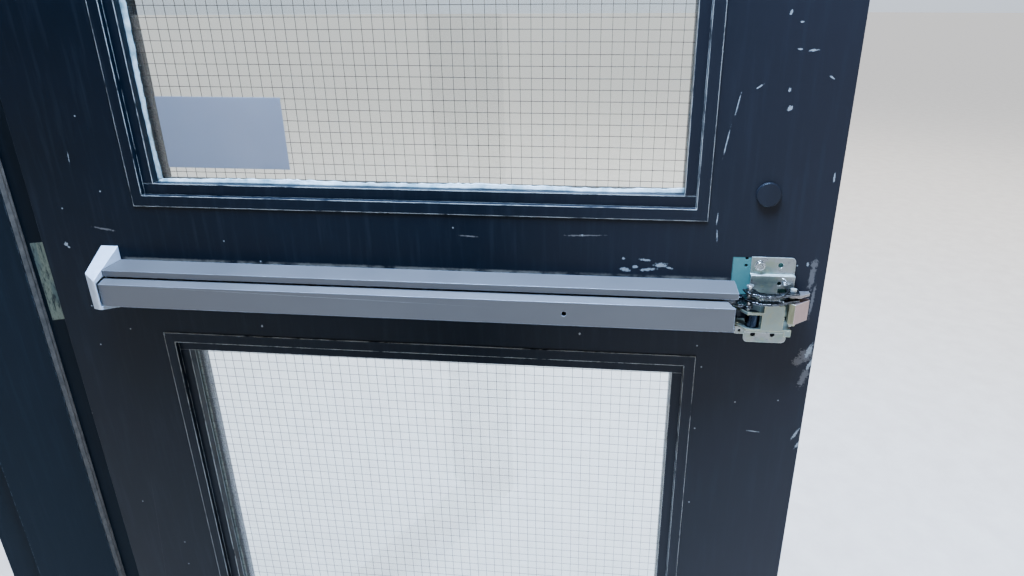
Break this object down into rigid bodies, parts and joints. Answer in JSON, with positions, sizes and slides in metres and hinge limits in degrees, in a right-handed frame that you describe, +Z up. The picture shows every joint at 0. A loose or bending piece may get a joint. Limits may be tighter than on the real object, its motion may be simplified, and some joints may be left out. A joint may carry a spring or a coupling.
{
  "type": "glass door",
  "caption": "Painted hollow-metal outside door with two wired-glass lites, a rim touch-bar exit device with its latch uncovered, and its pressed-steel frame.",
  "frame": {"origin": "centre of the doorway at the sill, on the underside of the threshold and half way through the frame's depth", "axes": "+Z up, +Y to the outside, the side that the leaf opens to, +X to the strike jamb"},
  "size_m": [1.087, 1.0729, 2.184],
  "materials": {
    "painted_steel": "satin",
    "frame_paint": "satin",
    "galvanised_steel": "satin",
    "bar_grey": "satin",
    "plated_steel": "satin",
    "yellow_zinc": "satin",
    "bronze": "satin",
    "blue_steel": "satin",
    "hinge_steel": "satin",
    "glass": "gloss",
    "mesh_wire": "satin",
    "glazing_tape": "matte",
    "seal_rubber": "matte",
    "sheet_grey": "matte",
    "mill_aluminium": "satin",
    "cap_silver": "satin"
  },
  "bodies": {
    "frame": {"hinge_jamb": "frame_paint", "strike_jamb": "frame_paint", "head_jamb": "frame_paint", "threshold": "mill_aluminium", "hinge_jamb_seal": "seal_rubber", "strike_jamb_seal": "seal_rubber", "head_jamb_seal": "seal_rubber", "wall_anchors": "galvanised_steel", "floor_anchors": "galvanised_steel", "frame_hinge_backings": "galvanised_steel", "frame_screws": "plated_steel", "rim_strike": "plated_steel", "top_hinge_frame_leaf": "hinge_steel", "middle_hinge_frame_leaf": "hinge_steel", "bottom_hinge_frame_leaf": "hinge_steel", "hinge_pins": "hinge_steel"},
    "leaf": {"leaf_push_sheet": "painted_steel", "leaf_pull_sheet": "painted_steel", "leaf_top_channel": "painted_steel", "leaf_bottom_channel": "galvanised_steel", "leaf_stiffeners": "galvanised_steel", "leaf_reinforcements": "galvanised_steel", "leaf_hinge_screws": "plated_steel", "hole_plug": "painted_steel", "window_sheet": "sheet_grey", "device_rail": "bar_grey", "device_end_cap": "cap_silver", "end_cap_bracket": "plated_steel", "crank_brackets": "plated_steel", "latch_base_plate": "plated_steel", "latch_bracket": "yellow_zinc", "latch_pivot_pin": "plated_steel", "spring_barrel": "blue_steel", "device_fasteners": "plated_steel", "top_hinge_door_leaf": "hinge_steel", "middle_hinge_door_leaf": "hinge_steel", "bottom_hinge_door_leaf": "hinge_steel", "upper_lite_push_moulding": "painted_steel", "upper_lite_pull_moulding": "painted_steel", "upper_glazing_stops": "painted_steel", "upper_glazing_tape": "glazing_tape", "upper_glass": "glass", "upper_wire_mesh": "mesh_wire", "lower_lite_push_moulding": "painted_steel", "lower_lite_pull_moulding": "painted_steel", "lower_glazing_stops": "painted_steel", "lower_glazing_tape": "glazing_tape", "lower_glass": "glass", "lower_wire_mesh": "mesh_wire"},
    "pad": {"touch_pad": "bar_grey", "pad_catch": "plated_steel"},
    "rod": {"pull_rod": "plated_steel", "rod_tab": "plated_steel", "link_pin": "plated_steel", "crescent_links": "yellow_zinc", "latch_spring": "plated_steel"},
    "near_bell_crank": {"near_crank": "plated_steel"},
    "far_bell_crank": {"far_crank": "plated_steel"},
    "latch": {"latch_bolt": "bronze"},
    "dogging": {"dogging_post": "plated_steel"}
  },
  "joints": [
    {"name": "leaf_swing", "type": "hinge", "parent": "frame", "child": "leaf", "pos_m": [-0.492, 0.10795, 1], "axis": [0, 0, 1], "range_deg": [-63, 107]},
    {"name": "pad_press", "type": "slide", "parent": "leaf", "child": "pad", "axis": [-0.891, 0.454, 0], "range_m": [0, 0.01], "stiffness_N_per_m": 400, "springref_m": -0.005},
    {"name": "near_crank_turn", "type": "hinge", "parent": "leaf", "child": "near_bell_crank", "pos_m": [-0.30229, 0.30253, 1.0275], "axis": [0, 0, 1], "range_deg": [0, 30]},
    {"name": "far_crank_turn", "type": "hinge", "parent": "leaf", "child": "far_bell_crank", "pos_m": [-0.07075, 0.75694, 1.0275], "axis": [0, 0, 1], "range_deg": [0, 30]},
    {"name": "rod_pull", "type": "slide", "parent": "leaf", "child": "rod", "axis": [-0.454, -0.891, 0], "range_m": [0, 0.009]},
    {"name": "latch_turn", "type": "hinge", "parent": "leaf", "child": "latch", "pos_m": [-0.00571, 0.92358, 1.022], "axis": [0, 0, -1], "range_deg": [0, 50]},
    {"name": "dogging_turn", "type": "hinge", "parent": "leaf", "child": "dogging", "pos_m": [-0.1205, 0.68353, 1.0199], "axis": [-0.891, 0.454, 0], "range_deg": [0, 90]}
  ],
  "couplings": [
    {"joint": "near_crank_turn", "follows": "pad_press", "rad_per_m": 51.662},
    {"joint": "far_crank_turn", "follows": "pad_press", "rad_per_m": 51.662},
    {"joint": "rod_pull", "follows": "pad_press", "ratio": 0.86852},
    {"joint": "latch_turn", "follows": "pad_press", "rad_per_m": 86.394}
  ]
}
